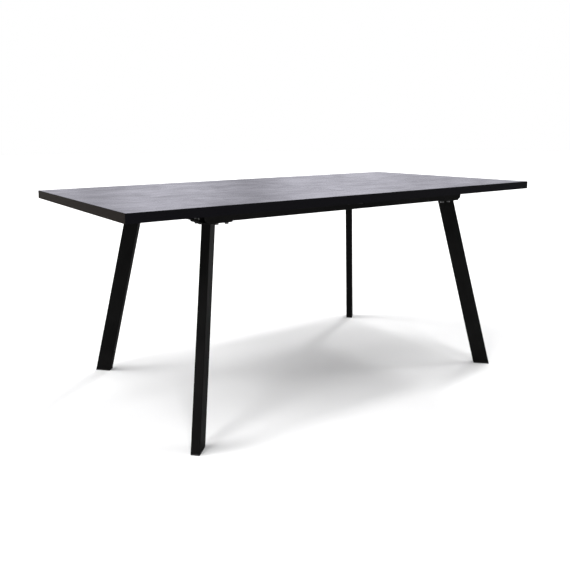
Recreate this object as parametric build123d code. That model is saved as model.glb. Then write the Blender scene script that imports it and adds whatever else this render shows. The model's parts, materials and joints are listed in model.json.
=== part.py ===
from build123d import *

import math
import os

os.makedirs("parts", exist_ok=True)

# Extendable dining table, in millimetres. X runs along the table, Y across it and Z up.
# The origin is on the floor under the middle of the top. Front is -Y and left is -X.
# The top is cut across the middle. Each half slides outwards on two runners that travel
# in the fixed side rails, and a spare leaf is stored lengthwise between the rails.

# Driving dimensions
TABLE_LENGTH = 1800
TABLE_WIDTH = 900
TABLE_HEIGHT = 760
TOP_THICKNESS = 30
TRAVEL = 250                # how far each half slides out

# Top halves and leaf
BAND = 2.0                  # plastic edge band
SEAM_GAP = 0.5              # gap between the closed halves
LAMINATE = 0.8
DOWEL_RADIUS = 4
DOWEL_SET = 20              # length glued into its own edge
DOWEL_PROUD = 10            # length that enters the opposite edge
DOWEL_PLACES = (-330, 0, 330)
DOWEL_CLEARANCE = 0.3
DOWEL_BORE_DEPTH = 12       # of the loose bore in the opposite edge
LEAF_TOP_GAP = 1            # between the stored leaf and the halves above it

# Side rails: lipped steel channels, open upwards
RAIL_Y = 328                # centre line
RAIL_WIDTH = 40
RAIL_BOTTOM = 695.5
RAIL_TOP_GAP = 1
RAIL_END = 600
RAIL_END_ROUND = 15
RAIL_BEND = 2.4
WALL = 2.5
SLOT_WIDTH = 20

# Runners: hat sections under the halves, with nylon glides that ride in the rails
RUNNER_START = 20
RUNNER_END = 590
RUNNER_CROWN = 18
RUNNER_BRIM = 30
BRIM_BOTTOM = 712
GLIDE_SIDE_GAP = 0.3
GLIDE_FLOOR_GAP = 0.4
INNER_GLIDE = (25, 80)
OUTER_GLIDE = (290, 332)
GLIDE_GROOVE = (17, 9)      # width and height, to pass over nuts and rivets
STOP_RADIUS = 4.5
STOP_HEIGHT = 5
STOP_ROUND = 2
STOP_SHANK = 2.4
STOP_GAP = 0.5              # left to the glide at full travel
STOP_X = INNER_GLIDE[1] + TRAVEL + STOP_RADIUS + STOP_GAP

# Cross ties and leaf bearers: flat bars between the rails
BAR_WIDTH = 40
TIE_X = 580
TIE_THICKNESS = 3
BEARER_X = 300
BEARER_THICKNESS = 4
BEARER_DROP = 3.2           # below the rails
BEARER_FLANGE = 16          # upturned end, along the rail's inner wall
GUIDE_HEIGHT = 10
GUIDE_THICKNESS = 3
GUIDE_GAP = 1
FELT_THICKNESS = 2.4
FELT_LENGTH = (140, 240)
FELT_WIDTH = 32

# Legs: rectangular tubes, wide side along the diagonal
LEG_WIDE = 60
LEG_NARROW = 30
LEG_WALL = 2
LEG_CORNER = 3
FOOT_X = 677
FOOT_Y = 417
LEG_TOP_X = 555             # where the leg's axis meets the underside of the top
LEG_TOP_Y = 294.5
FOOT_PAD = 4
SPIGOT_DEPTH = 22
SPIGOT_GAP = 0.1

# Leg plates and their bolts (M8)
PLATE_X = (490, 600)
PLATE_Y = (236, 346)
PLATE_THICKNESS = 4
PLATE_CORNER = 18
RAIL_BOLT_X = (510, 547)
TIE_BOLTS = ((584, 262), (584, 286))
BOLT_RADIUS = 4
BOLT_HOLE = 4.25
HEAD_FLATS = 13
HEAD_HEIGHT = 5.3
NUT_HEIGHT = 6.5
BOLT_TIP = 1.2
WASHER_RADIUS = 8
WASHER_THICKNESS = 1.6

# Rack and pinion that make the halves move together
MODULE = 1.5
TEETH = 16
PRESSURE_ANGLE = math.radians(20)
ADDENDUM = 1.2
DEDENDUM = 1.5
FLANK_STEPS = 5             # straight steps along each tooth's curve
PINION_BACKLASH = 0.25
RACK_BACKLASH = 0.1
PINION_Y = 283
PINION_HEIGHT = 10
PINION_RISE = 1             # above the racks' lower faces
AXLE_RADIUS = 4
RUNNING_GAP = 0.05
AXLE_FLANGE = 7
AXLE_TAIL = 1               # below the bracket
AXLE_GAP = 0.2
CLIP_RADIUS = 6.5
CLIP_THICKNESS = 0.6
RACK_TOP_GAP = 0.5
RACK_HEIGHT = 12
RACK_BACK = 10              # from the pitch line to the back of the bar
RACK_TAIL = 200             # plain end, screwed to the rack's own half
RACK_REACH = 280            # toothed end, under the other half
RACK_PACKING_START = 25     # the plain end is packed out to meet the board
RACK_FIRST_TOOTH = 3.5      # in pitches past the middle
RACK_SCREWS = (40, 110, 180)
BRACKET_PLATE = (40, 17)    # welded foot: length and height
BRACKET_THICKNESS = 3
BRACKET_TAB_WIDTH = 28
BRACKET_TAB_ROUND = 10
BRACKET_GAP = 3.5           # below the racks

# Leaf locks under the seam
LOCK_Y = 375
LOCK_PIVOT_X = 22
KEEPER_X = 18
LOCK_PLATE = 2
LOCK_PLATE_X = (6, 58)
LOCK_PLATE_WIDTH = 36
KEEPER_PLATE_X = (6, 37)
KEEPER_PLATE_WIDTH = 30
LOCK_PLATE_CORNER = 4
LOCK_SCREW_X = 48
KEEPER_SCREW_X = 29.5
LOCK_SCREW_OFFSET = 9
LEVER_THICKNESS = 3
LEVER_GAP = 0.5
LEVER_ARM = 13
LEVER_HUB = 9
LEVER_TAIL = 17
LOCK_PIN = 3
LOCK_HEAD = 5
LOCK_HEAD_HEIGHT = 2.5
LOCK_HEAD_ROUND = 1.2
PIVOT_GAP = 0.3
KEEPER_GAP = 0.5
HOOK_BAND = 7               # each side of the keeper's circle
HOOK_LEAD = math.radians(18)
HOOK_CLEARANCE = 0.35
KNOB_RADIUS = 5
KNOB_HEIGHT = 8
KNOB_ROUND = 1.5

# Wood screws
SCREW_HEAD = 4
SCREW_HEAD_HEIGHT = 2.5
SCREW_HEAD_ROUND = 1
SCREW_DRIVE_RADIUS = 1.2
SCREW_DRIVE_DEPTH = 1.5
SCREW_SHANK = 2
SCREW_LENGTH = 14
RUNNER_SCREWS = (60, 230, 400, 560)

# Levels and places worked out from the above
UNDERSIDE = TABLE_HEIGHT - TOP_THICKNESS
RAIL_TOP = UNDERSIDE - RAIL_TOP_GAP
RAIL_INNER = RAIL_Y - RAIL_WIDTH / 2
RAIL_OUTER = RAIL_Y + RAIL_WIDTH / 2
PLATE_BOTTOM = RAIL_BOTTOM - PLATE_THICKNESS
TIE_TOP = RAIL_BOTTOM + TIE_THICKNESS
BEARER_BOTTOM = RAIL_BOTTOM - BEARER_DROP
BEARER_TOP = BEARER_BOTTOM + BEARER_THICKNESS
LEAF_WIDTH = 2 * TRAVEL
LEAF_TOP = UNDERSIDE - LEAF_TOP_GAP
LEAF_BOTTOM = LEAF_TOP - TOP_THICKNESS
WEB_BOTTOM = UNDERSIDE - WALL
PITCH_RADIUS = MODULE * TEETH / 2
PITCH = math.pi * MODULE
RACK_TOP = UNDERSIDE - RACK_TOP_GAP
RACK_BOTTOM = RACK_TOP - RACK_HEIGHT
PINION_BOTTOM = RACK_BOTTOM + PINION_RISE
PINION_TOP = PINION_BOTTOM + PINION_HEIGHT
BRACKET_TOP = RACK_BOTTOM - BRACKET_GAP
LEVER_TOP = UNDERSIDE - LOCK_PLATE - LEVER_GAP
LEVER_BOTTOM = LEVER_TOP - LEVER_THICKNESS
LOCK_REACH = LOCK_PIVOT_X + KEEPER_X

ENDS = {"left": -1, "right": 1}
SIDES = {"front": -1, "rear": 1}


def block(x_range, y_range, z_range):
    """A box between two corners."""
    ranges = (x_range, y_range, z_range)
    middle = [(low + high) / 2 for low, high in ranges]
    return Pos(*middle) * Box(*[high - low for low, high in ranges])


def rod(x, y, z_range, radius):
    """An upright cylinder."""
    low, high = z_range
    return Pos(x, y, (low + high) / 2) * Cylinder(radius, high - low)


def hexagon(x, y, z_range):
    """An upright hexagonal prism with the bolts' width across flats."""
    low, high = z_range
    corner = HEAD_FLATS / math.sqrt(3)
    return extrude(Pos(x, y, low) * RegularPolygon(corner, 6), high - low)


def prism(points, z_range):
    """A flat outline raised between two levels."""
    low, high = z_range
    outline = make_face(Polyline(*points, close=True))
    return extrude(Pos(0, 0, low) * outline, high - low)


def place(shape, end=1, side=1):
    """Mirror a shape made in the right rear quarter into another quarter."""
    if end < 0:
        shape = mirror(shape, Plane.YZ)
    if side < 0:
        shape = mirror(shape, Plane.XZ)
    return shape


def save(name, *shapes):
    """Write one sub-part, made of one or more separate solids."""
    solids = [solid for shape in shapes for solid in shape.solids()]
    shape = solids[0] if len(solids) == 1 else Compound(solids)
    export_step(shape, f"parts/{name}.step")


# Underframe -----------------------------------------------------------------------------

def rail():
    """The rear rail: a channel with lips, its lower end corners rounded."""
    ends = (-RAIL_END, RAIL_END)
    body = block(ends, (RAIL_INNER, RAIL_OUTER), (RAIL_BOTTOM, RAIL_TOP))
    body = fillet(body.edges().filter_by(Axis.Y).group_by(Axis.Z)[0], RAIL_END_ROUND)
    body = fillet(body.edges().filter_by(Axis.X).group_by(Axis.Z)[0], RAIL_BEND)
    inside = (RAIL_INNER + WALL, RAIL_OUTER - WALL)
    body -= block(ends, inside, (RAIL_BOTTOM + WALL, RAIL_TOP - WALL))
    slot = (RAIL_Y - SLOT_WIDTH / 2, RAIL_Y + SLOT_WIDTH / 2)
    body -= block(ends, slot, (RAIL_TOP - 2 * WALL, RAIL_TOP))
    floor = (RAIL_BOTTOM, RAIL_BOTTOM + WALL)
    for end in ENDS.values():
        for x in RAIL_BOLT_X:
            body -= rod(end * x, RAIL_Y, floor, BOLT_HOLE)
        body -= rod(end * STOP_X, RAIL_Y, floor, STOP_SHANK)
    return body


def cross_tie():
    """The right end's flat tie between the rails, drilled for the leg plates' bolts."""
    levels = (RAIL_BOTTOM, TIE_TOP)
    width = (TIE_X - BAR_WIDTH / 2, TIE_X + BAR_WIDTH / 2)
    tie = block(width, (-RAIL_INNER, RAIL_INNER), levels)
    for side in SIDES.values():
        for x, y in TIE_BOLTS:
            tie -= rod(x, side * y, levels, BOLT_HOLE)
    return tie


def leaf_bearer():
    """The right bar under the stored leaf: ends turned up, and an upstand beside the leaf."""
    width = (BEARER_X - BAR_WIDTH / 2, BEARER_X + BAR_WIDTH / 2)
    bearer = block(width, (-RAIL_INNER, RAIL_INNER), (BEARER_BOTTOM, BEARER_TOP))
    guide_y = LEAF_WIDTH / 2 + GUIDE_GAP
    for side in SIDES.values():
        flange = block(width, (RAIL_INNER - BEARER_THICKNESS, RAIL_INNER),
                       (BEARER_TOP, BEARER_TOP + BEARER_FLANGE))
        guide = block(width, (guide_y, guide_y + GUIDE_THICKNESS),
                      (BEARER_TOP, BEARER_TOP + GUIDE_HEIGHT))
        bearer += place(flange, side=side)
        bearer += place(guide, side=side)
    return bearer


def felt_pad():
    """One of the felt strips on a leaf bearer."""
    width = (BEARER_X - FELT_WIDTH / 2, BEARER_X + FELT_WIDTH / 2)
    return block(width, FELT_LENGTH, (BEARER_TOP, BEARER_TOP + FELT_THICKNESS))


def leg_axis_point(z):
    """The leg's centre at a height, in the right rear quarter."""
    part = z / UNDERSIDE
    x = FOOT_X + part * (LEG_TOP_X - FOOT_X)
    y = FOOT_Y + part * (LEG_TOP_Y - FOOT_Y)
    return Vector(x, y, z)


def leg_prism(inset, z_range):
    """A length of the leg's outline, cut level at both ends."""
    low, high = (leg_axis_point(z) for z in z_range)
    run = high - low
    slope = abs(run.Z) / run.length
    wide = (LEG_WIDE - 2 * inset) / slope
    corner = max(LEG_CORNER - inset, 1)
    section = RectangleRounded(wide, LEG_NARROW - 2 * inset, corner)
    section = Pos(low.X, low.Y, low.Z) * Rot(0, 0, 45) * section
    return extrude(section, run.length, dir=run.normalized())


def leg():
    """The right rear leg's tube."""
    levels = (FOOT_PAD, PLATE_BOTTOM)
    return leg_prism(0, levels) - leg_prism(LEG_WALL, levels)


def foot():
    """A plastic foot pad with a spigot that plugs the tube."""
    spigot = leg_prism(LEG_WALL + SPIGOT_GAP, (FOOT_PAD, FOOT_PAD + SPIGOT_DEPTH))
    return leg_prism(0, (0, FOOT_PAD)) + spigot


def plate_bolt_places():
    """Each bolt's place with the top of the steel that it clamps, in the right rear quarter."""
    rail_bolts = [(x, RAIL_Y, RAIL_BOTTOM + WALL) for x in RAIL_BOLT_X]
    tie_bolts = [(x, y, TIE_TOP) for x, y in TIE_BOLTS]
    return rail_bolts + tie_bolts


def leg_plate():
    plate = block(PLATE_X, PLATE_Y, (PLATE_BOTTOM, RAIL_BOTTOM))
    plate = fillet(plate.edges().filter_by(Axis.Z), PLATE_CORNER)
    for x, y, _ in plate_bolt_places():
        plate -= rod(x, y, (PLATE_BOTTOM, RAIL_BOTTOM), BOLT_HOLE)
    return plate


def leg_bolt(x, y, clamp_top):
    head_top = PLATE_BOTTOM - WASHER_THICKNESS
    head = hexagon(x, y, (head_top - HEAD_HEIGHT, head_top))
    return head + rod(x, y, (head_top, clamp_top + NUT_HEIGHT + BOLT_TIP), BOLT_RADIUS)


def leg_washer(x, y):
    levels = (PLATE_BOTTOM - WASHER_THICKNESS, PLATE_BOTTOM)
    return rod(x, y, levels, WASHER_RADIUS) - rod(x, y, levels, BOLT_HOLE)


def leg_nut(x, y, clamp_top):
    levels = (clamp_top, clamp_top + NUT_HEIGHT)
    return hexagon(x, y, levels) - rod(x, y, levels, BOLT_RADIUS)


def stop_rivet():
    """A rivet in the rail's floor that ends the slide's travel."""
    floor_top = RAIL_BOTTOM + WALL
    head = rod(STOP_X, RAIL_Y, (floor_top, floor_top + STOP_HEIGHT), STOP_RADIUS)
    head = fillet(head.edges().group_by(Axis.Z)[-1], STOP_ROUND)
    return head + rod(STOP_X, RAIL_Y, (RAIL_BOTTOM, floor_top), STOP_SHANK)


# Rack and pinion ------------------------------------------------------------------------

def pinion_bracket():
    """A foot on the rear rail's inner wall with a tab under the pinion."""
    length, height = BRACKET_PLATE
    foot_plate = block((-length / 2, length / 2), (RAIL_INNER - BRACKET_THICKNESS, RAIL_INNER),
                       (BRACKET_TOP - height, BRACKET_TOP))
    half_tab = BRACKET_TAB_WIDTH / 2
    levels = (BRACKET_TOP - BRACKET_THICKNESS, BRACKET_TOP)
    tab = block((-half_tab, half_tab), (PINION_Y - half_tab, RAIL_INNER), levels)
    tab = fillet(tab.edges().filter_by(Axis.Z).group_by(Axis.Y)[0], BRACKET_TAB_ROUND)
    return foot_plate + tab - rod(0, PINION_Y, levels, AXLE_RADIUS)


def pinion_axle():
    """A shaft riveted through the bracket, with a flange that the pinion rests on."""
    bottom = BRACKET_TOP - BRACKET_THICKNESS - AXLE_TAIL
    shaft = rod(0, PINION_Y, (bottom, RACK_TOP - AXLE_GAP), AXLE_RADIUS)
    return shaft + rod(0, PINION_Y, (BRACKET_TOP, PINION_BOTTOM - AXLE_GAP), AXLE_FLANGE)


def pinion_clip():
    """A retaining ring round the top of the axle."""
    bottom = PINION_TOP + AXLE_GAP
    levels = (bottom, bottom + CLIP_THICKNESS)
    return rod(0, PINION_Y, levels, CLIP_RADIUS) - rod(0, PINION_Y, levels, AXLE_RADIUS)


def involute(angle):
    return math.tan(angle) - angle


def pinion():
    """A spur gear with involute flanks and one tooth pointing along Y."""
    base_radius = PITCH_RADIUS * math.cos(PRESSURE_ANGLE)
    root_radius = PITCH_RADIUS - DEDENDUM
    tip_radius = PITCH_RADIUS + ADDENDUM
    half_pitch_angle = (PITCH / 2 - PINION_BACKLASH) / 2 / PITCH_RADIUS
    flank = []
    for step in range(FLANK_STEPS + 1):
        radius = base_radius + (tip_radius - base_radius) * step / FLANK_STEPS
        turn = involute(math.acos(base_radius / radius))
        flank.append((radius, half_pitch_angle + involute(PRESSURE_ANGLE) - turn))
    flank.insert(0, (root_radius, flank[0][1]))
    points = []
    for tooth in range(TEETH):
        centre = math.pi / 2 + 2 * math.pi * tooth / TEETH
        rising = [(radius, centre - half) for radius, half in flank]
        falling = [(radius, centre + half) for radius, half in reversed(flank)]
        for radius, angle in rising + falling:
            points.append((radius * math.cos(angle), PINION_Y + radius * math.sin(angle)))
    levels = (PINION_BOTTOM, PINION_TOP)
    return prism(points, levels) - rod(0, PINION_Y, levels, AXLE_RADIUS + RUNNING_GAP)


def rack(pitch_line, towards_pinion):
    """A rack for the right half: plain and screwed down at +X, toothed towards -X."""
    def half_width(height):
        tooth = PITCH / 4 - RACK_BACKLASH / 2
        return tooth - height * math.tan(PRESSURE_ANGLE)

    outline = [(RACK_TAIL, -RACK_BACK), (RACK_TAIL, -DEDENDUM)]
    first = RACK_FIRST_TOOTH * PITCH
    count = int((RACK_REACH + first) / PITCH)
    for number in range(count):
        centre = first - number * PITCH
        outline.append((centre + half_width(-DEDENDUM), -DEDENDUM))
        outline.append((centre + half_width(ADDENDUM), ADDENDUM))
        outline.append((centre - half_width(ADDENDUM), ADDENDUM))
        outline.append((centre - half_width(-DEDENDUM), -DEDENDUM))
    outline += [(-RACK_REACH, -DEDENDUM), (-RACK_REACH, -RACK_BACK)]
    points = [(x, pitch_line + towards_pinion * height) for x, height in outline]
    bar = prism(points, (RACK_BOTTOM, RACK_TOP))
    back, front = sorted(pitch_line - towards_pinion * depth for depth in (RACK_BACK, DEDENDUM))
    bar += block((RACK_PACKING_START, RACK_TAIL), (back, front), (RACK_TOP, UNDERSIDE))
    for x in RACK_SCREWS:
        y = rack_screw_line(pitch_line, towards_pinion)
        bar -= rod(x, y, (RACK_BOTTOM, WEB_BOTTOM), SCREW_HEAD)
        bar -= rod(x, y, (WEB_BOTTOM, UNDERSIDE), SCREW_SHANK)
    return bar


def rack_screw_line(pitch_line, towards_pinion):
    return pitch_line - towards_pinion * (RACK_BACK + DEDENDUM) / 2


# The right half's rack runs inside the pinion and the left half's outside it, so that the
# halves move apart at the same speed.
RACKS = {"left": (PINION_Y + PITCH_RADIUS, -1), "right": (PINION_Y - PITCH_RADIUS, 1)}


# Top halves -----------------------------------------------------------------------------

def screw(x, y, z):
    """A wood screw driven upwards, with the underside of its pan head at z."""
    head = rod(x, y, (z - SCREW_HEAD_HEIGHT, z), SCREW_HEAD)
    head = fillet(head.edges().group_by(Axis.Z)[0], SCREW_HEAD_ROUND)
    bottom = z - SCREW_HEAD_HEIGHT
    drive = rod(x, y, (bottom, bottom + SCREW_DRIVE_DEPTH), SCREW_DRIVE_RADIUS)
    return head + rod(x, y, (z, z + SCREW_LENGTH), SCREW_SHANK) - drive


def screw_places(end_name):
    """Every screw of a half, as x, y and the level under its head, on the +X and +Y side."""
    lock_level = UNDERSIDE - LOCK_PLATE
    places = [(x, RAIL_Y, WEB_BOTTOM) for x in RUNNER_SCREWS]
    places += [(x, rack_screw_line(*RACKS[end_name]), WEB_BOTTOM) for x in RACK_SCREWS]
    lock_x = LOCK_SCREW_X if end_name == "left" else KEEPER_SCREW_X
    for offset in (-LOCK_SCREW_OFFSET, LOCK_SCREW_OFFSET):
        places.append((lock_x, LOCK_Y + offset, lock_level))
    return places


def half_screws(end_name):
    places = screw_places(end_name)
    return [place(screw(*spot), ENDS[end_name], side) for side in SIDES.values() for spot in places]


def dowel(y, radius, x_range, z):
    """A horizontal cylinder along X."""
    low, high = x_range
    return Pos((low + high) / 2, y, z) * Rot(0, 90, 0) * Cylinder(radius, high - low)


def dowel_bores(end_name):
    """The bores in a half's seam edge: tight in the left half, loose in the right half."""
    radius, depth = DOWEL_RADIUS, DOWEL_SET
    if end_name == "right":
        radius, depth = DOWEL_RADIUS + DOWEL_CLEARANCE, DOWEL_BORE_DEPTH
    middle = UNDERSIDE + TOP_THICKNESS / 2
    return [dowel(y, radius, (0, depth), middle) for y in DOWEL_PLACES]


def half_panel(end_name):
    """A half's board, made at +X."""
    inner = SEAM_GAP / 2 + BAND
    side = TABLE_WIDTH / 2 - BAND
    board = block((inner, TABLE_LENGTH / 2 - BAND), (-side, side), (UNDERSIDE, TABLE_HEIGHT - LAMINATE))
    for sign in SIDES.values():
        for x, y, z in screw_places(end_name):
            board -= rod(x, sign * y, (UNDERSIDE, z + SCREW_LENGTH), SCREW_SHANK)
    for bore in dowel_bores(end_name):
        board -= bore
    return place(board, ENDS[end_name])


def half_laminate():
    inner = SEAM_GAP / 2 + BAND
    side = TABLE_WIDTH / 2 - BAND
    return block((inner, TABLE_LENGTH / 2 - BAND), (-side, side), (TABLE_HEIGHT - LAMINATE, TABLE_HEIGHT))


def side_band():
    """The band along a half's rear edge."""
    outer = TABLE_WIDTH / 2
    return block((SEAM_GAP / 2, TABLE_LENGTH / 2), (outer - BAND, outer), (UNDERSIDE, TABLE_HEIGHT))


def cross_bands(end_name):
    """The bands on a half's outer end and on its seam edge, made at +X."""
    side = TABLE_WIDTH / 2 - BAND
    bands = []
    for outer in (TABLE_LENGTH / 2, SEAM_GAP / 2 + BAND):
        bands.append(block((outer - BAND, outer), (-side, side), (UNDERSIDE, TABLE_HEIGHT)))
    for bore in dowel_bores(end_name):
        bands[1] -= bore
    return [place(band, ENDS[end_name]) for band in bands]


def half_dowels():
    middle = UNDERSIDE + TOP_THICKNESS / 2
    return [dowel(y, DOWEL_RADIUS, (-DOWEL_SET, DOWEL_PROUD), middle) for y in DOWEL_PLACES]


def hat_section(x_range):
    """The runner's section along a length: a crown, two webs and two brims."""
    crown = (RAIL_Y - RUNNER_CROWN / 2, RAIL_Y + RUNNER_CROWN / 2)
    inside = (crown[0] + WALL, crown[1] - WALL)
    brim = (RAIL_Y - RUNNER_BRIM / 2, RAIL_Y + RUNNER_BRIM / 2)
    hat = block(x_range, crown, (BRIM_BOTTOM, UNDERSIDE))
    hat += block(x_range, brim, (BRIM_BOTTOM, BRIM_BOTTOM + WALL))
    return hat - block(x_range, inside, (BRIM_BOTTOM, WEB_BOTTOM))


def runner():
    hat = hat_section((RUNNER_START, RUNNER_END))
    for x in RUNNER_SCREWS:
        hat -= rod(x, RAIL_Y, (WEB_BOTTOM, UNDERSIDE), SCREW_SHANK)
    return hat


def glide(x_range, grooved):
    """A nylon block clipped round the runner, which fills the rail's inside."""
    half = RAIL_WIDTH / 2 - WALL - GLIDE_SIDE_GAP
    bottom = RAIL_BOTTOM + WALL + GLIDE_FLOOR_GAP
    top = RAIL_TOP - WALL - GLIDE_FLOOR_GAP
    body = block(x_range, (RAIL_Y - half, RAIL_Y + half), (bottom, top))
    body -= hat_section(x_range)
    inside = RUNNER_CROWN / 2
    body -= block(x_range, (RAIL_Y - inside, RAIL_Y + inside), (BRIM_BOTTOM, top))
    if grooved:
        width, height = GLIDE_GROOVE
        body -= block(x_range, (RAIL_Y - width / 2, RAIL_Y + width / 2), (bottom, bottom + height))
    return body


# Leaf -----------------------------------------------------------------------------------

def leaf_bores(radius, side, depth):
    """Bores in one long edge of the stored leaf."""
    bores = []
    outer = LEAF_WIDTH / 2
    middle = LEAF_BOTTOM + TOP_THICKNESS / 2
    for x in DOWEL_PLACES:
        along_x = dowel(0, radius, (outer - depth, outer), middle)
        bores.append(Pos(x, 0, 0) * Rot(0, 0, side * 90) * along_x)
    return bores


def leaf_board(shape):
    """Drill the leaf's dowel bores: tight at the rear edge, loose at the front edge."""
    for bore in leaf_bores(DOWEL_RADIUS, 1, DOWEL_SET):
        shape -= bore
    for bore in leaf_bores(DOWEL_RADIUS + DOWEL_CLEARANCE, -1, DOWEL_BORE_DEPTH):
        shape -= bore
    return shape


def leaf_panel():
    x = TABLE_WIDTH / 2 - BAND
    y = LEAF_WIDTH / 2 - BAND
    return leaf_board(block((-x, x), (-y, y), (LEAF_BOTTOM, LEAF_TOP - LAMINATE)))


def leaf_laminate():
    x = TABLE_WIDTH / 2 - BAND
    y = LEAF_WIDTH / 2 - BAND
    return block((-x, x), (-y, y), (LEAF_TOP - LAMINATE, LEAF_TOP))


def leaf_bands():
    """Four bands: the long pair is drilled for the dowels."""
    x = TABLE_WIDTH / 2
    y = LEAF_WIDTH / 2
    levels = (LEAF_BOTTOM, LEAF_TOP)
    end_band = block((x - BAND, x), (-y, y), levels)
    long_band = block((BAND - x, x - BAND), (y - BAND, y), levels)
    long_pair = [leaf_board(place(long_band, side=side)) for side in SIDES.values()]
    return [end_band, place(end_band, -1)] + long_pair


def leaf_dowels():
    reach = LEAF_WIDTH / 2 + DOWEL_PROUD
    middle = LEAF_BOTTOM + TOP_THICKNESS / 2
    stick = dowel(0, DOWEL_RADIUS, (LEAF_WIDTH / 2 - DOWEL_SET, reach), middle)
    return [Pos(x, 0, 0) * Rot(0, 0, 90) * stick for x in DOWEL_PLACES]


# Locks ----------------------------------------------------------------------------------

def screwed_plate(x_range, width, screws):
    """A rounded plate against the underside, drilled for its screws."""
    half = width / 2
    plate = block(x_range, (LOCK_Y - half, LOCK_Y + half), (UNDERSIDE - LOCK_PLATE, UNDERSIDE))
    plate = fillet(plate.edges().filter_by(Axis.Z), LOCK_PLATE_CORNER)
    for x, y, z in screws:
        plate -= rod(x, y, (z, UNDERSIDE), SCREW_SHANK)
    return plate


def lock_plate():
    """The rear lock's base on the left half, made at +X."""
    plate = screwed_plate(LOCK_PLATE_X, LOCK_PLATE_WIDTH, screw_places("left")[-2:])
    return plate - rod(LOCK_PIVOT_X, LOCK_Y, (UNDERSIDE - LOCK_PLATE, UNDERSIDE), LOCK_PIN)


def lock_pivot():
    """The lever's rivet, headed below the lever, made at +X."""
    head_top = LEVER_BOTTOM - PIVOT_GAP
    head = rod(LOCK_PIVOT_X, LOCK_Y, (head_top - LOCK_HEAD_HEIGHT, head_top), LOCK_HEAD)
    head = fillet(head.edges().group_by(Axis.Z)[0], LOCK_HEAD_ROUND)
    return head + rod(LOCK_PIVOT_X, LOCK_Y, (head_top, UNDERSIDE), LOCK_PIN)


def lock_keeper():
    """The rear keeper on the right half: a plate with a headed stud."""
    plate = screwed_plate(KEEPER_PLATE_X, KEEPER_PLATE_WIDTH, screw_places("right")[-2:])
    head_top = LEVER_BOTTOM - KEEPER_GAP
    stud = rod(KEEPER_X, LOCK_Y, (head_top, UNDERSIDE - LOCK_PLATE), LOCK_PIN)
    head = rod(KEEPER_X, LOCK_Y, (head_top - LOCK_HEAD_HEIGHT, head_top), LOCK_HEAD)
    return plate + stud + head


def arc_band(inner, outer, start, stop):
    """A flat ring sector about the origin, at the lever's level."""
    def on_circle(radius, angle):
        return (radius * math.cos(angle), radius * math.sin(angle))

    middle = (start + stop) / 2
    edges = ThreePointArc(on_circle(inner, start), on_circle(inner, middle), on_circle(inner, stop))
    edges += Line(on_circle(inner, stop), on_circle(outer, stop))
    edges += ThreePointArc(on_circle(outer, stop), on_circle(outer, middle), on_circle(outer, start))
    edges += Line(on_circle(outer, start), on_circle(inner, start))
    return extrude(Pos(0, 0, LEVER_BOTTOM) * make_face(edges), LEVER_THICKNESS)


def lock_lever():
    """The rear lever, unlocked: its hook points along +Y and swings towards +X."""
    levels = (LEVER_BOTTOM, LEVER_TOP)
    inner = LOCK_REACH - HOOK_BAND
    outer = LOCK_REACH + HOOK_BAND
    arm_half = LEVER_ARM / 2
    trail = math.asin(arm_half / outer)
    lever = block((-LEVER_TAIL, inner + 1), (-arm_half, arm_half), levels)
    lever += rod(0, 0, levels, LEVER_HUB)
    lever += rod(-LEVER_TAIL, 0, levels, arm_half)
    lever += arc_band(inner, outer, -HOOK_LEAD, trail)
    groove = LOCK_PIN + HOOK_CLEARANCE
    lever -= arc_band(LOCK_REACH - groove, LOCK_REACH + groove, -2 * HOOK_LEAD, 0)
    lever -= rod(LOCK_REACH, 0, levels, groove)
    lever -= rod(0, 0, levels, LOCK_PIN + RUNNING_GAP)
    knob = rod(-LEVER_TAIL, 0, (LEVER_BOTTOM - KNOB_HEIGHT, LEVER_BOTTOM), KNOB_RADIUS)
    lever += fillet(knob.edges().group_by(Axis.Z)[0], KNOB_ROUND)
    return Pos(-LOCK_PIVOT_X, LOCK_Y, 0) * Rot(0, 0, 90) * lever


# Write every sub-part -------------------------------------------------------------------

bolts = []
washers = []
nuts = []
for side_name, side in SIDES.items():
    save(f"{side_name}_rail", place(rail(), side=side))
    save(f"{side_name}_pinion_bracket", place(pinion_bracket(), side=side))
    save(f"{side_name}_pinion", place(pinion(), side=side))
    save(f"{side_name}_lock_lever", place(lock_lever(), side=side))
    for end_name, end in ENDS.items():
        save(f"{side_name}_{end_name}_leg", place(leg(), end, side))
        save(f"{side_name}_{end_name}_foot", place(foot(), end, side))
        save(f"{side_name}_{end_name}_leg_plate", place(leg_plate(), end, side))
        for x, y, clamp_top in plate_bolt_places():
            bolts.append(place(leg_bolt(x, y, clamp_top), end, side))
            washers.append(place(leg_washer(x, y), end, side))
            nuts.append(place(leg_nut(x, y, clamp_top), end, side))
save("leg_bolts", *bolts)
save("leg_bolt_washers", *washers)
save("leg_bolt_nuts", *nuts)

quarters = [(end, side) for end in ENDS.values() for side in SIDES.values()]
save("slide_stop_rivets", *[place(stop_rivet(), *quarter) for quarter in quarters])
save("leaf_felt_pads", *[place(felt_pad(), *quarter) for quarter in quarters])
save("pinion_axles", *[place(pinion_axle(), side=side) for side in SIDES.values()])
save("pinion_clips", *[place(pinion_clip(), side=side) for side in SIDES.values()])
save("lock_plates", *[place(lock_plate(), ENDS["left"], side) for side in SIDES.values()])
save("lock_pivots", *[place(lock_pivot(), ENDS["left"], side) for side in SIDES.values()])
save("lock_keepers", *[place(lock_keeper(), side=side) for side in SIDES.values()])

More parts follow.
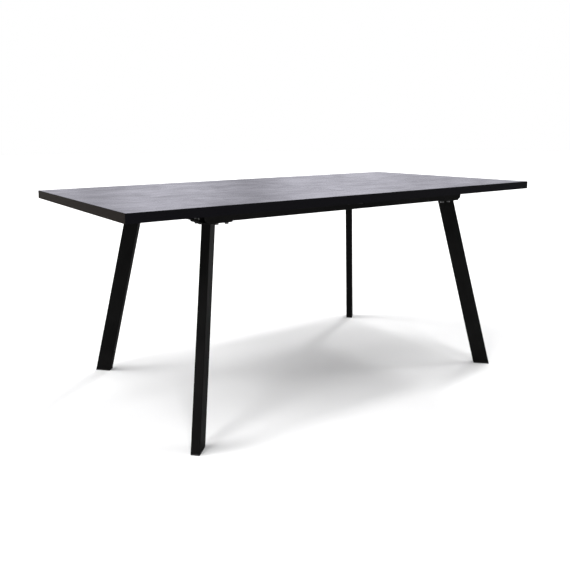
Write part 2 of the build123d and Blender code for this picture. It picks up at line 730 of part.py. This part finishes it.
for end_name, end in ENDS.items():
    save(f"{end_name}_cross_tie", place(cross_tie(), end))
    save(f"{end_name}_leaf_bearer", place(leaf_bearer(), end))
    save(f"{end_name}_panel", half_panel(end_name))
    save(f"{end_name}_laminate", place(half_laminate(), end))
    save(f"{end_name}_side_bands", *[place(side_band(), end, side) for side in SIDES.values()])
    save(f"{end_name}_cross_bands", *cross_bands(end_name))
    save(f"{end_name}_screws", *half_screws(end_name))
    glides = [glide(INNER_GLIDE, False), glide(OUTER_GLIDE, True)]
    save(f"{end_name}_glides", *[place(shape, end, side) for shape in glides for side in SIDES.values()])
    for side_name, side in SIDES.items():
        save(f"{end_name}_{side_name}_runner", place(runner(), end, side))
        save(f"{end_name}_{side_name}_rack", place(rack(*RACKS[end_name]), end, side))
save("seam_dowels", *half_dowels())

save("leaf_panel", leaf_panel())
save("leaf_laminate", leaf_laminate())
save("leaf_bands", *leaf_bands())
save("leaf_dowels", *leaf_dowels())
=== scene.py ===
import json
import math

import bpy
from mathutils import Euler, Matrix, Vector


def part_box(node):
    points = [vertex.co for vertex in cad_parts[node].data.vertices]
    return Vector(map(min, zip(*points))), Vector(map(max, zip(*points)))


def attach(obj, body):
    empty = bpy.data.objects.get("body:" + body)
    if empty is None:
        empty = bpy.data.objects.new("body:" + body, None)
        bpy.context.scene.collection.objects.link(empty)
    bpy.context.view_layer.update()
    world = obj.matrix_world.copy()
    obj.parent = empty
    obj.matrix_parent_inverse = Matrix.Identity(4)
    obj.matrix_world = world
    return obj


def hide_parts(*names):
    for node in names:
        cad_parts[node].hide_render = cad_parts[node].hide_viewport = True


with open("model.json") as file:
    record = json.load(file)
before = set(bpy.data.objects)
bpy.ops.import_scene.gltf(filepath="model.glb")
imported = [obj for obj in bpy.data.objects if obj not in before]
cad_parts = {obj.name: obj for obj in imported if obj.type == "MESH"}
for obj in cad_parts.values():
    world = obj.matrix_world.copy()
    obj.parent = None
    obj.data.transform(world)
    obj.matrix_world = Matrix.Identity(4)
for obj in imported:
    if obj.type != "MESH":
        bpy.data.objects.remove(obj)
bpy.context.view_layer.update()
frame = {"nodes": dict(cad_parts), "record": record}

# An extendable dining table: a dark laminated top on splayed black steel legs. The frame
# holds its parts; this script gives them their materials, adds the weld beads and the
# bolts' real shape, and sets up the studio.

BASE_BODY = "underframe"
SLOT_OF = {part["node"]: part["material_slot"] for part in frame["record"]["subparts"]}


# Node helpers ---------------------------------------------------------------------------

class Nodes:
    """A node tree, and short calls that add nodes to it. An input is a value or a socket."""

    def __init__(self, tree):
        self.tree = tree

    def add(self, kind, inputs=None, **settings):
        node = self.tree.nodes.new(kind)
        for name, value in settings.items():
            setattr(node, name, value)
        for name, value in (inputs or {}).items():
            if isinstance(value, bpy.types.NodeSocket):
                self.tree.links.new(value, node.inputs[name])
            else:
                node.inputs[name].default_value = value
        return node

    def math(self, operation, first, second=0.0):
        return self.add("ShaderNodeMath", {0: first, 1: second}, operation=operation).outputs[0]

    def vector_math(self, operation, first, second):
        return self.add("ShaderNodeVectorMath", {0: first, 1: second}, operation=operation).outputs

    def axes(self, vector):
        """The X, Y and Z parts of a vector."""
        return self.add("ShaderNodeSeparateXYZ", {0: vector}).outputs

    def remap(self, value, low, high, to_low=0.0, to_high=1.0, interpolation="LINEAR"):
        inputs = {"Value": value, "From Min": low, "From Max": high, "To Min": to_low, "To Max": to_high}
        return self.add("ShaderNodeMapRange", inputs, interpolation_type=interpolation).outputs["Result"]

    def blend(self, factor, first, second):
        """From one number to another."""
        return self.add("ShaderNodeMix", {0: factor, 2: first, 3: second}, data_type="FLOAT").outputs[0]

    def mix(self, factor, first, second):
        """From one colour to another."""
        colours = [value if isinstance(value, bpy.types.NodeSocket) else (*value, 1.0)
                   for value in (first, second)]
        inputs = {0: factor, 6: colours[0], 7: colours[1]}
        return self.add("ShaderNodeMix", inputs, data_type="RGBA").outputs[2]


# Cosines of the turn between a face's own normal and the rounded one, where an edge
# begins to count and where it counts in full.
EDGE_TURN = (0.995, 0.9)
BEVEL_SAMPLES = 6


class Shader(Nodes):
    """One node material, with its Principled shader."""

    def __init__(self, name):
        self.material = bpy.data.materials.new(name)
        self.material.use_nodes = True
        super().__init__(self.material.node_tree)
        self.bsdf = self.tree.nodes["Principled BSDF"]
        self.place = self.add("ShaderNodeTexCoord").outputs["Object"]

    def set(self, **values):
        for name, value in values.items():
            self.bsdf.inputs[name.replace("_", " ")].default_value = value

    def link(self, source, name):
        self.tree.links.new(source, self.bsdf.inputs[name])

    def stretched(self, scale):
        """Object coordinates scaled by a different amount along each axis."""
        return self.add("ShaderNodeMapping", {"Vector": self.place, "Scale": scale}).outputs["Vector"]

    def noise(self, scale, detail=4.0, roughness=0.55, vector=None, distortion=0.0):
        inputs = {"Vector": vector or self.place, "Scale": scale, "Detail": detail,
                  "Roughness": roughness, "Distortion": distortion}
        return self.add("ShaderNodeTexNoise", inputs).outputs["Fac"]

    def cells(self, scale, vector=None):
        inputs = {"Vector": vector or self.place, "Scale": scale}
        return self.add("ShaderNodeTexVoronoi", inputs).outputs["Distance"]

    def face_normal(self):
        """The face's own normal, without any bump."""
        return self.add("ShaderNodeNewGeometry").outputs["True Normal"]

    def rounded_edge(self, radius):
        return self.add("ShaderNodeBevel", {"Radius": radius}, samples=BEVEL_SAMPLES).outputs["Normal"]

    def edge_mask(self, radius):
        """1 on sharp edges and 0 on flat faces."""
        turn = self.vector_math("DOT_PRODUCT", self.rounded_edge(radius), self.face_normal())
        return self.remap(turn["Value"], *EDGE_TURN)

    def bump(self, height, distance, strength=1.0, edge=None):
        """Bump from a height, over a softly rounded edge where one is given."""
        inputs = {"Height": height, "Distance": distance, "Strength": strength}
        if edge:
            inputs["Normal"] = self.rounded_edge(edge)
        self.link(self.add("ShaderNodeBump", inputs).outputs["Normal"], "Normal")


# Materials ------------------------------------------------------------------------------

MID_NOISE = (0.3, 0.7)      # the range that a noise mostly keeps to


def concrete_print(shader):
    """Colour, roughness and height of the top's print: clouds, trowel strokes and pores."""
    clouds = shader.noise(5.5, 6.0, 0.66, distortion=0.9)
    strokes = shader.noise(13.0, 4.0, 0.58, shader.stretched((0.55, 1.2, 1.0)), 1.2)
    grit = shader.noise(160.0, 3.0, 0.7)
    pores = shader.remap(shader.cells(55.0), 0.06, 0.16, 1.0, 0.0)
    pores = shader.math("MULTIPLY", pores, shader.remap(shader.noise(9.0), 0.55, 0.7))
    tone = shader.math("ADD", shader.math("MULTIPLY", clouds, 0.5), shader.math("MULTIPLY", strokes, 0.5))
    tone_range = (0.36, 0.64)
    colour = shader.mix(shader.remap(tone, *tone_range), (0.046, 0.044, 0.053), (0.150, 0.146, 0.166))
    colour = shader.mix(shader.remap(grit, 0.35, 0.7, 0.0, 0.2), colour, (0.175, 0.17, 0.19))
    colour = shader.mix(shader.math("MULTIPLY", pores, 0.5), colour, (0.03, 0.029, 0.033))
    roughness = shader.remap(tone, *tone_range, 0.30, 0.23)
    height = shader.math("ADD", shader.math("MULTIPLY", grit, 0.5), shader.math("MULTIPLY", pores, -1.0))
    return colour, roughness, height


def slate_laminate():
    """The printed top."""
    shader = Shader("slate_laminate")
    colour, roughness, height = concrete_print(shader)
    shader.link(colour, "Base Color")
    shader.link(roughness, "Roughness")
    shader.bump(height, 0.00006, 0.2)
    shader.set(Specular_IOR_Level=0.5)
    return shader.material


SEAM_REACH = 0.1            # parts of the bands nearer the middle than this edge the seam


def edge_band():
    """Black edge band with the fine lines of its extrusion. Its end faces get a lighter, warmer black,
    painted warm light on the ends.
    Its rim at the seam is printed like the top."""
    shader = Shader("edge_band")
    lines = shader.noise(60.0, 3.0, 0.6, shader.stretched((0.15, 0.15, 9.0)))
    grain = shader.noise(420.0, 2.0, 0.6)
    facing = shader.axes(shader.face_normal())
    base = shader.mix(lines, (0.0030, 0.0029, 0.0042), (0.0064, 0.0062, 0.0074))
    # Painted light: faces pointing along X, the ends, get a lighter, warmer black that stands in for warm
    # light falling on them.
    base = shader.mix(shader.math("ABSOLUTE", facing["X"]), base, (0.0074, 0.0051, 0.0036))
    patches = shader.remap(shader.noise(22.0), 0.5, 0.7, 0.15, 0.8)
    wear = shader.math("MULTIPLY", shader.edge_mask(0.0012), patches)
    base = shader.mix(shader.math("MULTIPLY", wear, 0.5), base, (0.035, 0.034, 0.036))
    colour, roughness, _ = concrete_print(shader)
    along = shader.axes(shader.place)["X"]
    at_seam = shader.math("LESS_THAN", shader.math("ABSOLUTE", along), SEAM_REACH)
    rim = shader.math("MULTIPLY", at_seam, shader.math("GREATER_THAN", facing["Z"], 0.5))
    shader.link(shader.mix(rim, base, colour), "Base Color")
    shader.link(shader.blend(rim, shader.remap(grain, *MID_NOISE, 0.44, 0.58), roughness), "Roughness")
    shader.bump(shader.math("ADD", lines, shader.math("MULTIPLY", grain, 0.6)), 0.00004, 0.4, 0.0008)
    shader.set(Specular_IOR_Level=0.016)
    return shader.material


def chipboard_core():
    """Boards: dark melamine on the flat faces, pressed chips in the bores and cut edges."""
    shader = Shader("chipboard_core")
    grain = shader.noise(260.0, 3.0, 0.65)
    flow = shader.noise(4.0, 5.0, 0.6)
    face = shader.mix(shader.remap(grain, *MID_NOISE), (0.008, 0.0078, 0.008), (0.017, 0.0165, 0.0175))
    face = shader.mix(shader.remap(flow, 0.35, 0.7, 0.0, 0.35), face, (0.026, 0.0255, 0.027))
    chips = shader.cells(420.0, shader.stretched((1.0, 1.0, 2.4)))
    cut = shader.mix(shader.remap(chips, 0.1, 0.7), (0.20, 0.13, 0.075), (0.46, 0.34, 0.21))
    upright = shader.axes(shader.face_normal())["Z"]
    flat = shader.math("GREATER_THAN", shader.math("ABSOLUTE", upright), 0.5)
    shader.link(shader.mix(flat, cut, face), "Base Color")
    shader.link(shader.remap(grain, *MID_NOISE, 0.5, 0.66), "Roughness")
    shader.bump(grain, 0.00008, 0.5)
    shader.set(Specular_IOR_Level=0.12)
    return shader.material


def black_powder_coat():
    """Satin powder coat: a fine orange-peel skin, a little thin and rubbed on its edges."""
    shader = Shader("black_powder_coat")
    peel = shader.noise(750.0, 2.0, 0.5)
    drift = shader.noise(7.0, 4.0, 0.6)
    base = shader.mix(shader.remap(drift, *MID_NOISE), (0.0052, 0.0052, 0.0052), (0.0092, 0.0090, 0.0089))
    patches = shader.remap(shader.noise(35.0), 0.48, 0.72, 0.0, 0.7)
    rub = shader.math("MULTIPLY", shader.edge_mask(0.0012), patches)
    shader.link(shader.mix(rub, base, (0.034, 0.033, 0.032)), "Base Color")
    fine, broad = shader.remap(peel, *MID_NOISE, 0.38, 0.48), shader.remap(drift, *MID_NOISE, 0.0, 0.08)
    shader.link(shader.math("ADD", fine, broad), "Roughness")
    shader.bump(peel, 0.00010, 0.45, 0.0010)
    shader.set(Specular_IOR_Level=0.007)
    return shader.material


def black_plastic():
    """Moulded feet, grained and a little scuffed."""
    shader = Shader("black_plastic")
    grain = shader.noise(620.0, 3.0, 0.6)
    scuff = shader.remap(shader.noise(40.0, 5.0, 0.7), 0.5, 0.75, 0.0, 0.6)
    shader.link(shader.mix(scuff, (0.012, 0.012, 0.012), (0.045, 0.044, 0.042)), "Base Color")
    shader.link(shader.remap(grain, *MID_NOISE, 0.5, 0.7), "Roughness")
    shader.bump(grain, 0.00012, 0.5, 0.0007)
    shader.set(Specular_IOR_Level=0.4)
    return shader.material


STAIN_TONE = 0.75           # share of the lighter plating's tone that a stain keeps


def plated_steel(name, dark, light, rough_low, rough_high):
    """Zinc plating: cloudy tone, drawn lines and faint stains."""
    shader = Shader(name)
    clouds = shader.noise(45.0, 4.0, 0.6)
    drawn = shader.noise(110.0, 3.0, 0.6, shader.stretched((0.08, 6.0, 6.0)))
    stain = shader.remap(shader.noise(14.0, 5.0, 0.65), 0.52, 0.74, 0.0, 0.35)
    base = shader.mix(shader.remap(clouds, *MID_NOISE), dark, light)
    shader.link(shader.mix(stain, base, tuple(STAIN_TONE * value for value in light)), "Base Color")
    shader.link(shader.remap(drawn, *MID_NOISE, rough_low, rough_high), "Roughness")
    shader.bump(drawn, 0.00003, 0.35, 0.0004)
    shader.set(Metallic=1.0)
    return shader.material


def zinc_steel():
    return plated_steel("zinc_steel", (0.40, 0.41, 0.43), (0.58, 0.59, 0.61), 0.26, 0.42)


def bolt_steel():
    return plated_steel("bolt_steel", (0.035, 0.035, 0.037), (0.10, 0.10, 0.098), 0.28, 0.42)


def lock_steel():
    """Black lacquered pressings with brighter scratches where they rub."""
    shader = Shader("lock_steel")
    scratch = shader.noise(90.0, 4.0, 0.75, shader.stretched((1.0, 0.12, 1.0)), 0.3)
    scratch = shader.remap(scratch, 0.62, 0.7, 0.0, 0.7)
    rub = shader.math("MULTIPLY", shader.edge_mask(0.0008), 0.6)
    worn = shader.math("MAXIMUM", scratch, rub)
    shader.link(shader.mix(worn, (0.008, 0.008, 0.009), (0.070, 0.070, 0.073)), "Base Color")
    shader.link(shader.remap(shader.noise(300.0), *MID_NOISE, 0.3, 0.46), "Roughness")
    shader.bump(shader.noise(500.0, 2.0), 0.00004, 0.4, 0.0004)
    shader.set(Metallic=0.3, Specular_IOR_Level=0.15)
    return shader.material


def nylon():
    """Natural nylon, with a trace of dirt."""
    shader = Shader("nylon")
    grain = shader.noise(380.0, 3.0, 0.6)
    dirt = shader.remap(shader.noise(55.0, 5.0, 0.7), 0.5, 0.74, 0.0, 0.45)
    shader.link(shader.mix(dirt, (0.74, 0.71, 0.63), (0.36, 0.34, 0.30)), "Base Color")
    shader.link(shader.remap(grain, *MID_NOISE, 0.38, 0.55), "Roughness")
    shader.bump(grain, 0.00006, 0.4, 0.0005)
    shader.set(Subsurface_Weight=0.15, Subsurface_Scale=0.002)
    return shader.material


def felt():
    """Grey pressed felt."""
    shader = Shader("felt")
    fibres = shader.noise(900.0, 4.0, 0.75, shader.stretched((1.0, 0.5, 1.0)), 1.5)
    pills = shader.noise(160.0, 3.0, 0.6)
    shader.link(shader.mix(fibres, (0.055, 0.055, 0.06), (0.20, 0.20, 0.21)), "Base Color")
    shader.link(shader.remap(pills, *MID_NOISE, 0.88, 1.0), "Roughness")
    shader.bump(shader.math("ADD", fibres, pills), 0.0005, 0.8)
    shader.set(Sheen_Weight=0.4, Sheen_Roughness=0.6)
    return shader.material


def beech():
    """Turned beech with its short dark flecks."""
    shader = Shader("beech")
    grain = shader.noise(70.0, 5.0, 0.65, shader.stretched((0.25, 0.25, 3.0)), 0.4)
    flecks = shader.noise(420.0, 2.0, 0.6, shader.stretched((0.2, 0.2, 1.5)))
    flecks = shader.remap(flecks, 0.58, 0.7, 0.0, 0.6)
    base = shader.mix(shader.remap(grain, *MID_NOISE), (0.52, 0.33, 0.18), (0.72, 0.52, 0.33))
    shader.link(shader.mix(flecks, base, (0.36, 0.21, 0.11)), "Base Color")
    shader.link(shader.remap(grain, *MID_NOISE, 0.5, 0.65), "Roughness")
    shader.bump(grain, 0.0001, 0.5)
    return shader.material


MATERIALS = {make.__name__: make() for make in (
    slate_laminate, edge_band, chipboard_core, black_powder_coat, black_plastic, zinc_steel,
    bolt_steel, lock_steel, nylon, felt, beech)}


def dress_frame():
    """Give every CAD node the material of its slot."""
    for name, obj in frame["nodes"].items():
        obj.data.materials.clear()
        obj.data.materials.append(MATERIALS[SLOT_OF[name]])


# Added pieces ---------------------------------------------------------------------------

KEY_DECIMALS = 6            # corners that agree to this many decimals are one corner


def islands(node):
    """The low and high corners of each separate solid in a CAD node."""
    mesh = frame["nodes"][node].data
    keys = [tuple(round(value, KEY_DECIMALS) for value in vertex.co) for vertex in mesh.vertices]
    parent = {key: key for key in keys}

    def root(key):
        while parent[key] != key:
            parent[key] = parent[parent[key]]
            key = parent[key]
        return key

    for edge in mesh.edges:
        first, second = (root(keys[index]) for index in edge.vertices)
        parent[first] = second
    corners = {}
    for key in parent:
        low, high = corners.setdefault(root(key), (Vector(key), Vector(key)))
        for axis in range(3):
            low[axis] = min(low[axis], key[axis])
            high[axis] = max(high[axis], key[axis])
    return sorted(corners.values(), key=lambda pair: tuple(pair[0]))


def add_piece(name, shape, slot, body, smooth=True):
    """A piece made of vertices and faces, in the finish of a slot, riding on a body."""
    vertices, faces = shape
    mesh = bpy.data.meshes.new(name)
    mesh.from_pydata(vertices, [], faces)
    mesh.update()
    mesh.polygons.foreach_set("use_smooth", [smooth] * len(mesh.polygons))
    mesh.materials.append(MATERIALS[slot])
    piece = bpy.data.objects.new(name, mesh)
    bpy.context.collection.objects.link(piece)
    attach(piece, body)
    return piece


def steady(radius):
    """The reach of a plain circle."""
    return lambda angle: radius


def circle(centre, z, sides, reach):
    """A ring of points round a centre. Its reach is a function of the angle."""
    points = []
    for step in range(sides):
        angle = 2 * math.pi * step / sides
        radius = reach(angle)
        points.append((centre[0] + radius * math.cos(angle), centre[1] + radius * math.sin(angle), z))
    return points


def lathe_rings(rings, close_start=True):
    """The vertices and faces of a skin over equal rings of points, closed at its last ring."""
    size = len(rings[0])
    vertices = [point for ring in rings for point in ring]
    faces = []
    for row in range(len(rings) - 1):
        for step in range(size):
            first = row * size + step
            second = row * size + (step + 1) % size
            faces.append((first, second, second + size, first + size))
    if close_start:
        faces.append(tuple(reversed(range(size))))
    faces.append(tuple(range(len(vertices) - size, len(vertices))))
    return vertices, faces


def joined(shapes):
    """The vertices and faces of several shapes as one."""
    vertices, faces = [], []
    for more_vertices, more_faces in shapes:
        offset = len(vertices)
        vertices += more_vertices
        faces += [tuple(index + offset for index in face) for face in more_faces]
    return vertices, faces


BEAD_RADIUS = 0.0022
BEAD_SIDES = 10
BEAD_STEP = 0.0009          # distance between two rings
BEAD_RIPPLE = 0.0036        # length of one ripple
BEAD_THIN = 0.86            # share of the radius between two ripples
BEAD_SWELL = 0.16           # share that a ripple adds
BEAD_WAVES = ((0.07, 310.0), (0.05, 733.0))     # slower swells: share, radians per metre


def bead_rings(start, end):
    """Rings of a straight weld bead, swollen and pinched like laid metal."""
    run = end - start
    along = run.normalized()
    side = along.orthogonal().normalized()
    other = along.cross(side)
    steps = max(2, int(run.length / BEAD_STEP))
    rings = []
    for step in range(steps + 1):
        place = run.length * step / steps
        swell = BEAD_THIN + BEAD_SWELL * abs(math.sin(math.pi * place / BEAD_RIPPLE))
        swell += sum(share * math.sin(place * rate) for share, rate in BEAD_WAVES)
        centre = start + run * (step / steps)
        ring = []
        for turn in range(BEAD_SIDES):
            angle = 2 * math.pi * turn / BEAD_SIDES
            reach = side * math.cos(angle) + other * math.sin(angle)
            ring.append(tuple(centre + reach * (BEAD_RADIUS * swell)))
        rings.append(ring)
    return rings


def weld_bead(name, runs):
    """One piece made of straight beads, each between two points."""
    shapes = [lathe_rings(bead_rings(Vector(start), Vector(end))) for start, end in runs]
    add_piece(name, joined(shapes), "black_powder_coat", BASE_BODY)


# Shares of a bead's radius that are sunk into the metal
LEG_BEAD_SINK = 0.45
BAR_BEAD_SINK = 0.4
BRACKET_BEAD_SINK = 0.5
BEAD_INSET = 0.002          # where a bead stops short of a bar's edge
LEVEL_TOLERANCE = 1e-5


def leg_welds():
    """A bead round the top of each leg, where the tube meets its plate."""
    for name, obj in frame["nodes"].items():
        if not name.endswith("_leg"):
            continue
        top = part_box(name)[1][2]
        rim = [vertex.co for vertex in obj.data.vertices if abs(vertex.co.z - top) < LEVEL_TOLERANCE]
        centre = sum(rim, Vector()) / len(rim)
        radial = Vector((math.copysign(1, centre.x), math.copysign(1, centre.y), 0.0)).normalized()
        across = Vector((-radial.y, radial.x, 0.0))
        long_reach = radial * max((point - centre).dot(radial) for point in rim)
        short_reach = across * max((point - centre).dot(across) for point in rim)
        level = Vector((centre.x, centre.y, top - BEAD_RADIUS * LEG_BEAD_SINK))
        corners = [level + long_reach * outward + short_reach * sideways
                   for outward, sideways in ((1, 1), (-1, 1), (-1, -1), (1, -1))]
        weld_bead(name + "_weld", list(zip(corners, corners[1:] + corners[:1])))


def bar_welds():
    """Beads where the cross ties, leaf bearers and gear brackets meet the rails."""
    rail_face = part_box("rear_rail")[0][1]
    for end in ("left", "right"):
        for kind in ("cross_tie", "leaf_bearer"):
            low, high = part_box(f"{end}_{kind}")
            level = low[2] if kind == "leaf_bearer" else high[2]
            runs = []
            for side in (-1, 1):
                y = side * (rail_face - BEAD_RADIUS * BAR_BEAD_SINK)
                runs.append(((low[0] + BEAD_INSET, y, level), (high[0] - BEAD_INSET, y, level)))
            weld_bead(f"{end}_{kind}_weld", runs)
    for name, side in (("front", -1), ("rear", 1)):
        low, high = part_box(f"{name}_pinion_bracket")
        y = side * (rail_face - BEAD_RADIUS * BRACKET_BEAD_SINK)
        runs = [((x, y, low[2] + BEAD_INSET), (x, y, high[2] - BEAD_INSET)) for x in (low[0], high[0])]
        weld_bead(f"{name}_pinion_bracket_weld", runs)


BOLT_SIDES = 48
SHANK_RADIUS = 0.004
THREAD_PITCH = 0.00125
THREAD_DEPTH = 0.0007
# The head's dimple and flat face, as shares of half its width across the flats
DIMPLE_FLOOR, DIMPLE_RIM = 0.55, 0.62
DIMPLE_DEPTH = 0.0004
HEAD_FACE = 0.94
CHAMFER_STEPS = 3
CHAMFER_HEIGHT = 0.6        # share of the way from the flats to the corners


def hexagon_reach(apothem, limit):
    """Reach of a hexagon with corners on the X axis, cut by a round limit."""
    def reach(angle):
        off_middle = angle % (math.pi / 3) - math.pi / 6
        return min(apothem / math.cos(off_middle), limit)
    return reach


def bolt_rings(low, high, head_height):
    """A hexagon bolt standing on its head: chamfered head, then a threaded shank."""
    centre = ((low.x + high.x) / 2, (low.y + high.y) / 2)
    apothem = (high.y - low.y) / 2
    corner = apothem / math.cos(math.pi / 6)
    chamfer = (corner - apothem) * CHAMFER_HEIGHT

    def round_ring(z, radius):
        return circle(centre, z, BOLT_SIDES, steady(radius))

    def head_ring(z, limit):
        return circle(centre, z, BOLT_SIDES, hexagon_reach(apothem, limit))

    face = apothem * HEAD_FACE
    rings = [round_ring(low.z + DIMPLE_DEPTH, apothem * DIMPLE_FLOOR),
             round_ring(low.z, apothem * DIMPLE_RIM), round_ring(low.z, face)]
    for step in range(CHAMFER_STEPS + 1):
        share = step / CHAMFER_STEPS
        rings.append(head_ring(low.z + chamfer * share, face + (corner - face) * share))
    z = low.z + head_height
    rings += [head_ring(z, corner), round_ring(z, SHANK_RADIUS)]
    while z < high.z - THREAD_PITCH:
        rings.append(round_ring(z + THREAD_PITCH * 0.5, SHANK_RADIUS - THREAD_DEPTH))
        rings.append(round_ring(z + THREAD_PITCH, SHANK_RADIUS))
        z += THREAD_PITCH
    rings.append(round_ring(high.z, SHANK_RADIUS - THREAD_DEPTH))
    return rings


def leg_bolts():
    """The bolts under the leg plates, with chamfered heads and real threads."""
    washers_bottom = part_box("leg_bolt_washers")[0][2]
    shapes = [lathe_rings(bolt_rings(low, high, washers_bottom - low.z))
              for low, high in islands("leg_bolts")]
    piece = add_piece("leg_bolts_threaded", joined(shapes), "bolt_steel", BASE_BODY, smooth=False)
    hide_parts("leg_bolts")


# Studio ---------------------------------------------------------------------------------

# A least-squares fit to the photograph's view of the table, rounded.
CAMERA_PLACE = Vector((-1.531, -2.073, 0.972))
CAMERA_YAW = math.radians(33.11)        # from +Y towards +X
CAMERA_PITCH = math.radians(-7.25)
CAMERA_ROLL = math.radians(-0.52)
SENSOR = 36.0
LENS = 40.06
SHIFT = (0.0491, -0.1244)
VIEW_DEPTH = 200.0


def camera():
    data = bpy.data.cameras.new("camera")
    data.sensor_width = SENSOR
    data.lens = LENS
    data.shift_x, data.shift_y = SHIFT
    data.clip_end = VIEW_DEPTH
    obj = bpy.data.objects.new("camera", data)
    forward = Vector((math.cos(CAMERA_PITCH) * math.sin(CAMERA_YAW),
                      math.cos(CAMERA_PITCH) * math.cos(CAMERA_YAW), math.sin(CAMERA_PITCH)))
    right = Vector((math.cos(CAMERA_YAW), -math.sin(CAMERA_YAW), 0.0))
    up = right.cross(forward)
    rolled_right = right * math.cos(CAMERA_ROLL) + up * math.sin(CAMERA_ROLL)
    rolled_up = up * math.cos(CAMERA_ROLL) - right * math.sin(CAMERA_ROLL)
    turn = Matrix((rolled_right, rolled_up, -forward)).transposed()
    obj.matrix_world = Matrix.Translation(CAMERA_PLACE) @ turn.to_4x4()
    bpy.context.collection.objects.link(obj)
    bpy.context.scene.camera = obj


FLOOR_RADII = (30.0, 0.01)  # of the disc's edge and of the small face in its middle
FLOOR_SIDES = 96
FLOOR_ALBEDO = 0.9


def floor():
    """A wide, flat, pale disc that the table stands on."""
    rings = [circle((0.0, 0.0), 0.0, FLOOR_SIDES, steady(radius)) for radius in FLOOR_RADII]
    vertices, faces = lathe_rings(rings, close_start=False)
    mesh = bpy.data.meshes.new("floor")
    mesh.from_pydata(vertices, [], faces)
    shader = Shader("floor_paper")
    darker, lighter = ([FLOOR_ALBEDO + change] * 3 for change in (-0.01, 0.01))
    shader.link(shader.mix(shader.noise(3.0), darker, lighter), "Base Color")
    shader.set(Roughness=0.9, Specular_IOR_Level=0.1)
    mesh.materials.append(shader.material)
    obj = bpy.data.objects.new("floor", mesh)
    bpy.context.collection.objects.link(obj)


# Bright panels behind the table, which its top mirrors: angle from the camera's aim in
# degrees, positive to the right, and brightness.
PANEL_REACH = math.radians(45)
PANELS = (
    (-45, 0.65), (-17.5, 0.96), (-14.2, 0.36), (-11.5, 0.95), (-4, 0.87), (0, 0.2),
    (3, 1.05), (6, 0.85), (10, 1.0), (13.5, 0.70), (22, 0.68), (45, 0.65),
)
PANEL_TINT = (0.98, 0.97, 1.09)
WALL = (0.6, 0.92)          # how squarely a direction faces the panels, from none to all of them
CEILING = (0.35, 0.7)       # how steeply it rises, from none to all of the ceiling
ROOM_COLOUR = (0.10, 0.097, 0.094)
CEILING_COLOUR = (0.26, 0.26, 0.26)
WHITE = (1.0, 1.0, 1.0)


def panel_ramp(sky, place):
    """The panels' brightness at a place from 0, far left, to 1, far right."""
    node = sky.add("ShaderNodeValToRGB", {"Fac": place})
    ramp = node.color_ramp
    ramp.interpolation = "B_SPLINE"
    for index, (angle, level) in enumerate(PANELS):
        spot = (math.radians(angle) / PANEL_REACH + 1) / 2
        stop = ramp.elements[index] if index < 2 else ramp.elements.new(spot)
        stop.position = spot
        stop.color = (level, level, level, 1.0)
    return node.outputs["Color"]


def studio_world():
    """White to the camera. As light, bright panels behind the table and a dim room."""
    world = bpy.data.worlds.new("studio")
    bpy.context.scene.world = world
    world.use_nodes = True
    world.node_tree.nodes.clear()
    sky = Nodes(world.node_tree)
    direction = sky.add("ShaderNodeTexCoord").outputs["Generated"]
    turn = {"Vector": direction, "Axis": (0.0, 0.0, 1.0), "Angle": CAMERA_YAW}
    aim = sky.axes(sky.add("ShaderNodeVectorRotate", turn).outputs["Vector"])
    across = sky.math("ARCTAN2", aim["X"], aim["Y"])
    panels = panel_ramp(sky, sky.remap(across, -PANEL_REACH, PANEL_REACH))
    bright = sky.vector_math("MULTIPLY", panels, PANEL_TINT)["Vector"]
    level = sky.mix(sky.remap(aim["Y"], *WALL, interpolation="SMOOTHSTEP"), ROOM_COLOUR, bright)
    level = sky.mix(sky.remap(aim["Z"], *CEILING, interpolation="SMOOTHSTEP"), level, CEILING_COLOUR)
    seen = sky.add("ShaderNodeLightPath").outputs["Is Camera Ray"]
    background = sky.add("ShaderNodeBackground", {"Color": sky.mix(seen, level, WHITE), "Strength": 1.0})
    output = sky.add("ShaderNodeOutputWorld")
    sky.tree.links.new(background.outputs["Background"], output.inputs["Surface"])


# Soft lights round the table: compass angle from +X towards +Y, height above the floor,
# share of the light that turns the floor white, and spread. All angles are in degrees.
# The rows are a search program's result against the photograph's floor shadow, rounded and
# changed by a degree or two. They weren't placed by eye.
SOFTBOXES = (
    (5, 72, 0.25, 9),
    (25, 46, 0.14, 8),
    (335, 62, 0.10, 22),
    (335, 28, 0.05, 10),
    (125, 56, 0.08, 10),
    (150, 40, 0.34, 30),
    (185, 66, 0.10, 24),
    (200, 41, 0.14, 16),
    (250, 52, 0.15, 11),
)


def softboxes():
    """The studio's lights, which meet under the table in one soft shadow."""
    for index, (compass, height, share, spread) in enumerate(SOFTBOXES):
        data = bpy.data.lights.new(f"softbox_{index}", "SUN")
        data.energy = share * math.pi / (FLOOR_ALBEDO * math.sin(math.radians(height)))
        data.angle = math.radians(spread)
        obj = bpy.data.objects.new(f"softbox_{index}", data)
        obj.rotation_euler = Euler((0.0, math.radians(90 - height), math.radians(compass)))
        bpy.context.collection.objects.link(obj)


dress_frame()
leg_welds()
bar_welds()
leg_bolts()
camera()
floor()
studio_world()
softboxes()
bpy.context.scene.view_settings.view_transform = "Standard"
